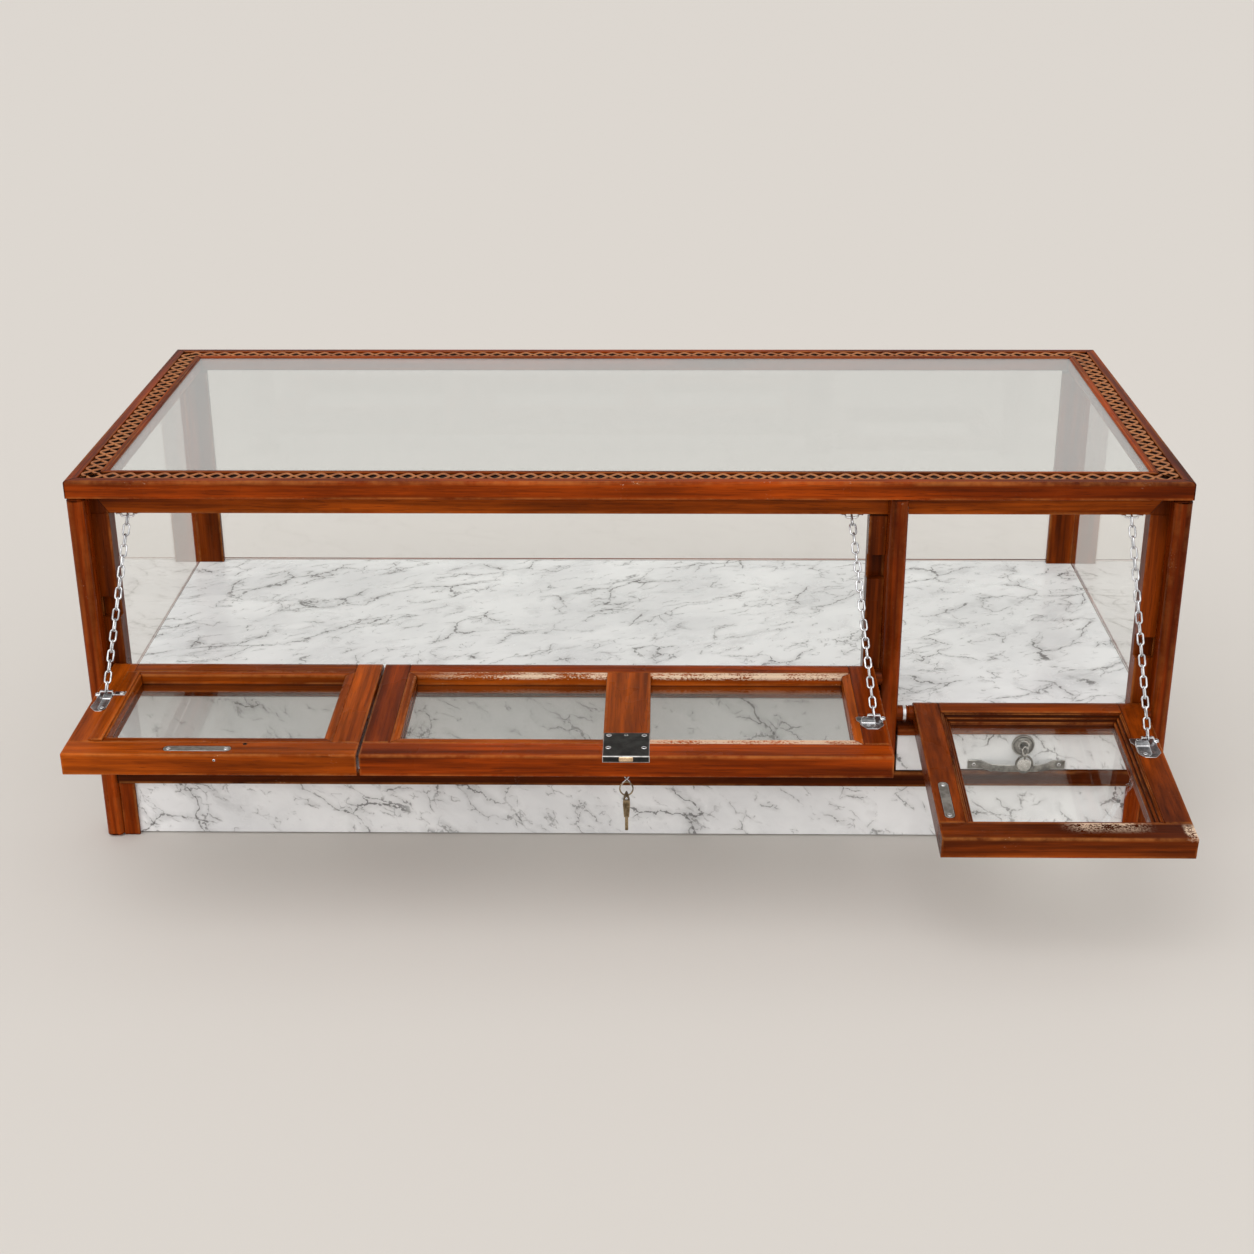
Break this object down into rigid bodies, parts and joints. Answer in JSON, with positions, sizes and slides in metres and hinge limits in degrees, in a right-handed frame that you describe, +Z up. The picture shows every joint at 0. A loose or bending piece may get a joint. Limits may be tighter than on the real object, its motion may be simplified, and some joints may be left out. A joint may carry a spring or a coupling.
{
  "type": "jewelry display counter",
  "caption": "Long wooden jewelry display counter with glass top, ends and back on a marble-faced base, with chain-held drop-down glass flaps, a lock and a small drawer.",
  "frame": {"origin": "on the floor under the middle of the box round the whole counter with its flaps lowered", "axes": "+X to the right as seen from the serving side, along the counter; +Y from the serving side to the back glass; +Z up"},
  "size_m": [1.5, 0.9624, 0.54],
  "materials": {
    "varnished_wood": "glossy orange-brown varnish, worn edges",
    "marble_sheet": "white with thin grey veins, satin",
    "clear_glass": "clear float glass",
    "plain_drawer_wood": "plain, oiled",
    "bright_zinc": "bright zinc plate",
    "black_steel": "black japanned steel",
    "aged_pewter": "dull grey, worn",
    "worn_brass": "dull, worn"
  },
  "bodies": {
    "case": {"back_base": "marble_sheet", "back_glass": "clear_glass", "centre_pivot": "bright_zinc", "deck": "marble_sheet", "drawer_divider": "varnished_wood", "drawer_sill": "varnished_wood", "front_apron": "marble_sheet", "front_base": "marble_sheet", "front_left_post": "varnished_wood", "front_right_post": "varnished_wood", "front_top_rail": "varnished_wood", "left_chain_hook": "bright_zinc", "left_end_base": "marble_sheet", "left_end_glass": "clear_glass", "left_top_rail": "varnished_wood", "middle_chain_hook": "bright_zinc", "mullion": "varnished_wood", "rear_left_post": "varnished_wood", "rear_right_post": "varnished_wood", "rear_top_rail": "varnished_wood", "right_chain_hook": "bright_zinc", "right_end_base": "marble_sheet", "right_end_glass": "clear_glass", "right_top_rail": "varnished_wood", "top_glass": "clear_glass"},
    "left_flap": {"left_flap_free_rail": "varnished_wood", "left_flap_hinge_rail": "varnished_wood", "left_flap_left_stile": "varnished_wood", "left_flap_pane": "clear_glass", "left_flap_right_stile": "varnished_wood", "left_flap_staple": "bright_zinc"},
    "middle_flap": {"middle_flap_free_rail": "varnished_wood", "middle_flap_hinge_rail": "varnished_wood", "middle_flap_left_stile": "varnished_wood", "middle_flap_muntin": "varnished_wood", "middle_flap_pane_1": "clear_glass", "middle_flap_pane_2": "clear_glass", "middle_flap_right_stile": "varnished_wood", "middle_flap_staple": "bright_zinc", "lock_plate": "black_steel"},
    "right_flap": {"right_flap_free_rail": "varnished_wood", "right_flap_hinge_rail": "varnished_wood", "right_flap_left_stile": "varnished_wood", "right_flap_pane": "clear_glass", "right_flap_right_stile": "varnished_wood", "right_flap_staple": "bright_zinc"},
    "drawer": {"drawer_front": "marble_sheet", "drawer_box": "plain_drawer_wood", "drawer_handle": "aged_pewter", "ring_rose": "aged_pewter"},
    "pull_ring": {"pull_ring": "aged_pewter"},
    "lock_bolt": {"lock_bolt": "worn_brass"},
    "lock_key": {"lock_key": "worn_brass"},
    "spare_key": {"spare_key": "worn_brass"},
    "left_chain_lower": {"left_chain_lower": "bright_zinc"},
    "left_chain_upper": {"left_chain_upper": "bright_zinc"},
    "middle_chain_lower": {"middle_chain_lower": "bright_zinc"},
    "middle_chain_upper": {"middle_chain_upper": "bright_zinc"},
    "right_chain_lower": {"right_chain_lower": "bright_zinc"},
    "right_chain_upper": {"right_chain_upper": "bright_zinc"}
  },
  "joints": [
    {"name": "left_flap_hinge", "type": "hinge", "parent": "case", "child": "left_flap", "pos_m": [0, -0.16234, 0.25], "axis": [-1, 0, 0], "range_deg": [0, 91], "deforming": ["left_chain_upper", "left_chain_lower"]},
    {"name": "middle_flap_hinge", "type": "hinge", "parent": "case", "child": "middle_flap", "pos_m": [0, -0.16234, 0.25], "axis": [-1, 0, 0], "range_deg": [0, 91], "deforming": ["middle_chain_upper", "middle_chain_lower"]},
    {"name": "right_flap_hinge", "type": "hinge", "parent": "case", "child": "right_flap", "pos_m": [0, -0.16234, 0.194], "axis": [-1, 0, 0], "range_deg": [0, 96], "deforming": ["right_chain_upper", "right_chain_lower"]},
    {"name": "left_chain_hook_hinge", "type": "hinge", "parent": "case", "child": "left_chain_upper", "pos_m": [-0.6792, -0.13984, 0.4767], "axis": [1, 0, 0], "range_deg": [0, 33], "deforming": ["left_chain_upper", "left_chain_lower"]},
    {"name": "left_chain_knee_hinge", "type": "hinge", "parent": "left_chain_upper", "child": "left_chain_lower", "pos_m": [-0.69568, -0.2312, 0.31645], "axis": [-1, 0, 0], "range_deg": [0, 171.2], "deforming": ["left_chain_lower"]},
    {"name": "middle_chain_hook_hinge", "type": "hinge", "parent": "case", "child": "middle_chain_upper", "pos_m": [0.303, -0.13984, 0.4767], "axis": [1, 0, 0], "range_deg": [0, 47.7], "deforming": ["middle_chain_upper", "middle_chain_lower"]},
    {"name": "middle_chain_knee_hinge", "type": "hinge", "parent": "middle_chain_upper", "child": "middle_chain_lower", "pos_m": [0.31639, -0.25247, 0.34706], "axis": [-1, 0, 0], "range_deg": [0, 175.2], "deforming": ["middle_chain_lower"]},
    {"name": "right_chain_hook_hinge", "type": "hinge", "parent": "case", "child": "right_chain_upper", "pos_m": [0.6792, -0.13984, 0.4767], "axis": [1, 0, 0], "range_deg": [0, 26.3], "deforming": ["right_chain_upper", "right_chain_lower"]},
    {"name": "right_chain_knee_hinge", "type": "hinge", "parent": "right_chain_upper", "child": "right_chain_lower", "pos_m": [0.69785, -0.23612, 0.25481], "axis": [-1, 0, 0], "range_deg": [0, 169.6], "deforming": ["right_chain_lower"]},
    {"name": "drawer_slide", "type": "slide", "parent": "case", "child": "drawer", "axis": [0, -1, 0], "range_m": [0, 0.1]},
    {"name": "pull_ring_hinge", "type": "hinge", "parent": "drawer", "child": "pull_ring", "pos_m": [0.553, -0.19214, 0.1532], "axis": [-1, 0, 0], "range_deg": [0, 85]},
    {"name": "lock_key_turn", "type": "hinge", "parent": "middle_flap", "child": "lock_key", "pos_m": [0.002, -0.40304, 0.2308], "axis": [0, -0.0175, 0.9998], "range_deg": [0, 90]},
    {"name": "lock_bolt_slide", "type": "slide", "parent": "middle_flap", "child": "lock_bolt", "axis": [0, -0.9998, -0.0175], "range_m": [0, 0.008]},
    {"name": "spare_key_hinge", "type": "hinge", "parent": "lock_key", "child": "spare_key", "pos_m": [0.002, -0.40245, 0.1968], "axis": [1, 0, 0], "range_deg": [0, 91]}
  ],
  "couplings": [
    {"joint": "left_chain_hook_hinge", "follows": "left_flap_hinge", "ratio": 0.361},
    {"joint": "left_chain_knee_hinge", "follows": "left_flap_hinge", "ratio": 1.8789},
    {"joint": "middle_chain_hook_hinge", "follows": "middle_flap_hinge", "ratio": 0.52226},
    {"joint": "middle_chain_knee_hinge", "follows": "middle_flap_hinge", "ratio": 1.9234},
    {"joint": "right_chain_hook_hinge", "follows": "right_flap_hinge", "ratio": 0.27191},
    {"joint": "right_chain_knee_hinge", "follows": "right_flap_hinge", "ratio": 1.7642},
    {"joint": "lock_bolt_slide", "follows": "lock_key_turn", "m_per_rad": 0.00509},
    {"joint": "spare_key_hinge", "follows": "middle_flap_hinge", "ratio": 1}
  ]
}
